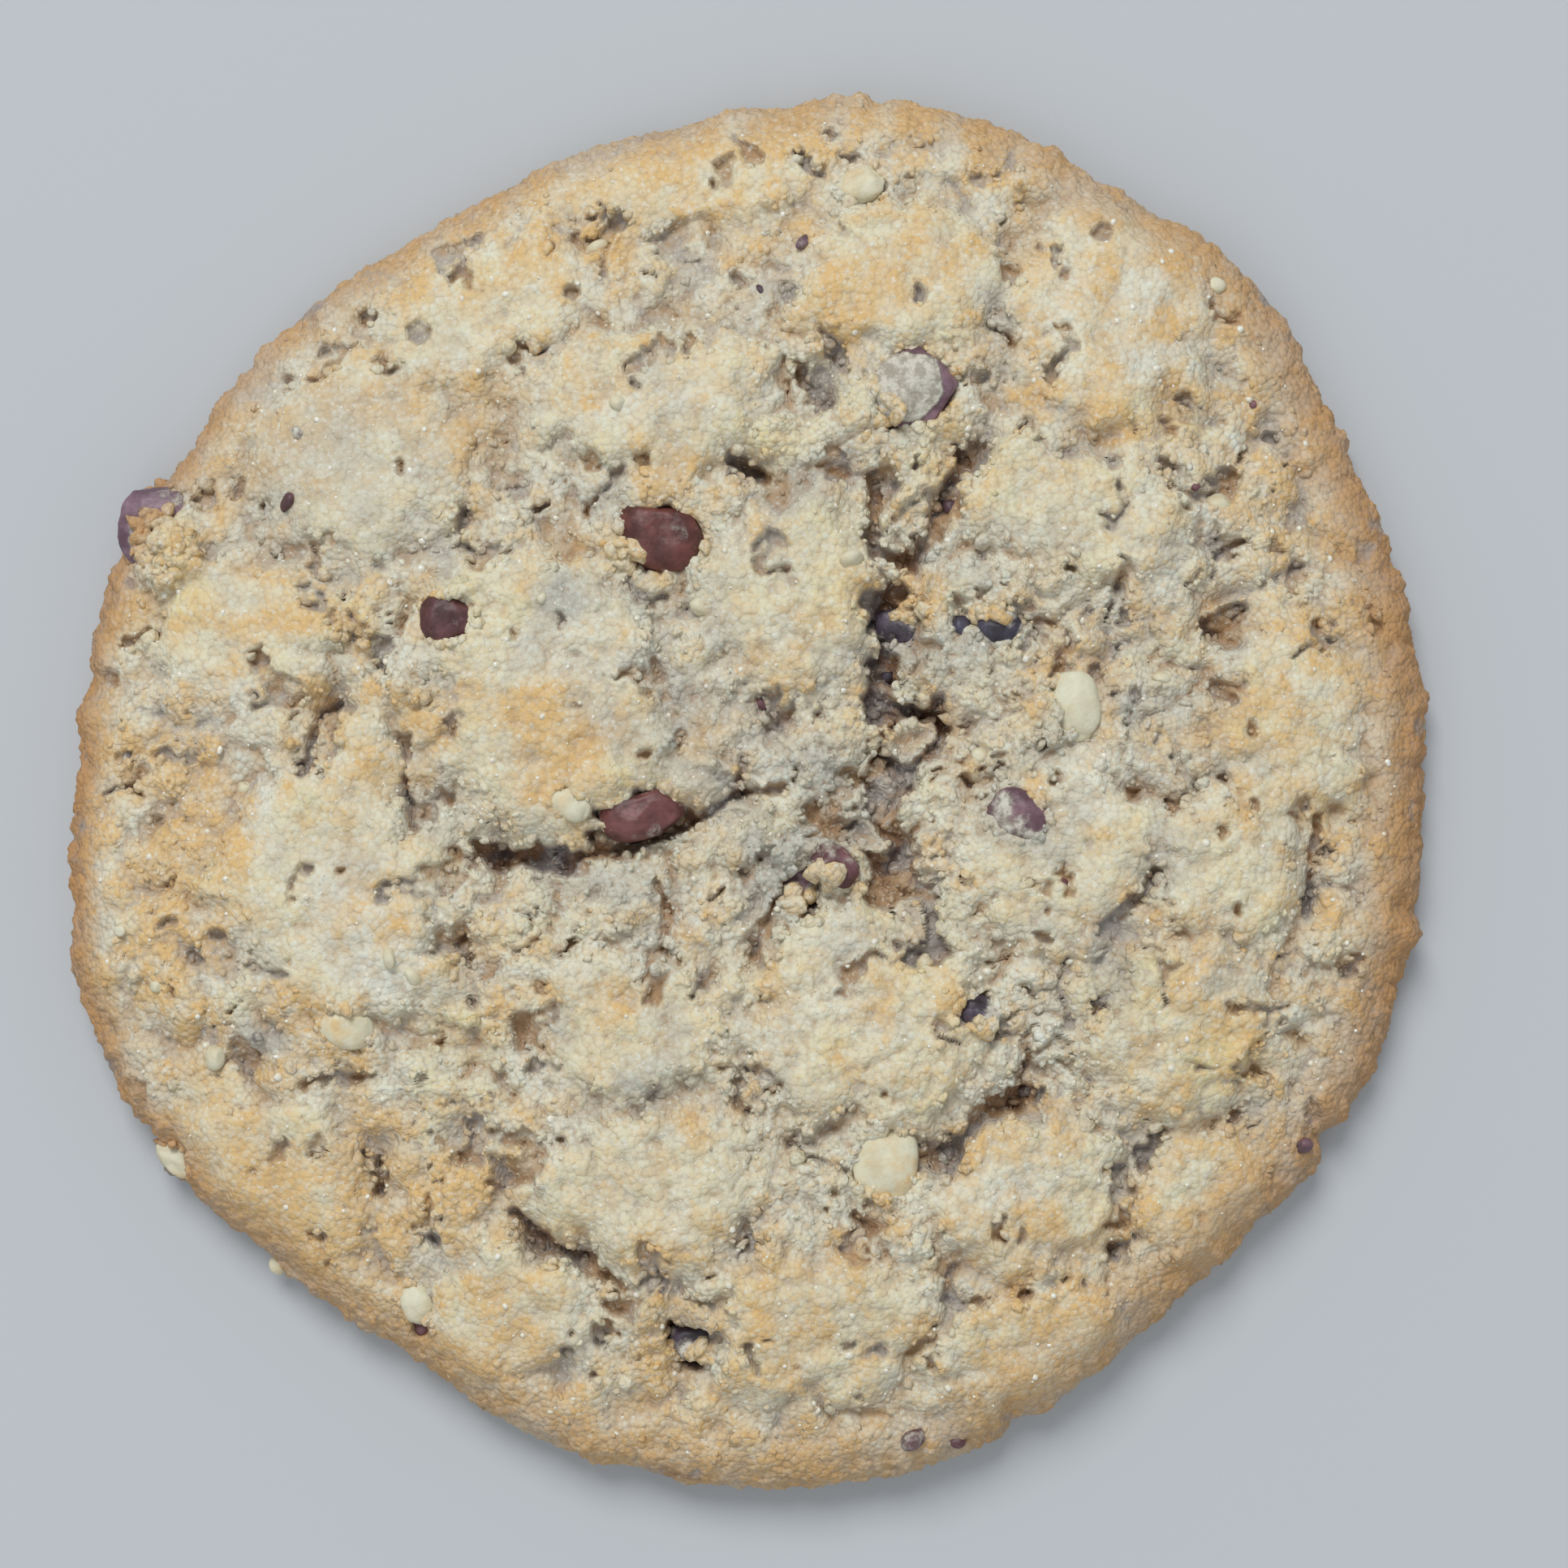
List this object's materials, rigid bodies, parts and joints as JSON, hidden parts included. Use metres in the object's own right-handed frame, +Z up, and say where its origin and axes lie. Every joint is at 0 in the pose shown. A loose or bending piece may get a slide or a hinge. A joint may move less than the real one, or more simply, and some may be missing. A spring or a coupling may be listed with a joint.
{
  "type": "chocolate nut cookie",
  "caption": "Round baked cookie with a cracked, crumbly top, chocolate chips and nut pieces set in it, and a flat underside to rest on.",
  "frame": {"origin": "middle of the flat underside, at the middle of the cookie's outline", "axes": "+Z up out of the cookie's top, +X to the right and +Y away in the view from above"},
  "size_m": [0.1042, 0.1073, 0.0134],
  "materials": {
    "baked_dough": "matt, crumbly",
    "chocolate": "satin",
    "nut": "matt"
  },
  "bodies": {
    "root": {"dough": "baked_dough", "chocolate_chip_01": "chocolate", "chocolate_chip_02": "chocolate", "chocolate_chip_03": "chocolate", "chocolate_chip_04": "chocolate", "chocolate_chip_05": "chocolate", "chocolate_chip_06": "chocolate", "chocolate_chip_07": "chocolate", "chocolate_chip_08": "chocolate", "chocolate_chip_09": "chocolate", "chocolate_chip_10": "chocolate", "chocolate_chip_11": "chocolate", "chocolate_chip_12": "chocolate", "nut_piece_01": "nut", "nut_piece_02": "nut", "nut_piece_03": "nut", "nut_piece_04": "nut", "nut_piece_05": "nut", "nut_piece_06": "nut", "nut_piece_07": "nut"}
  },
  "joints": []
}
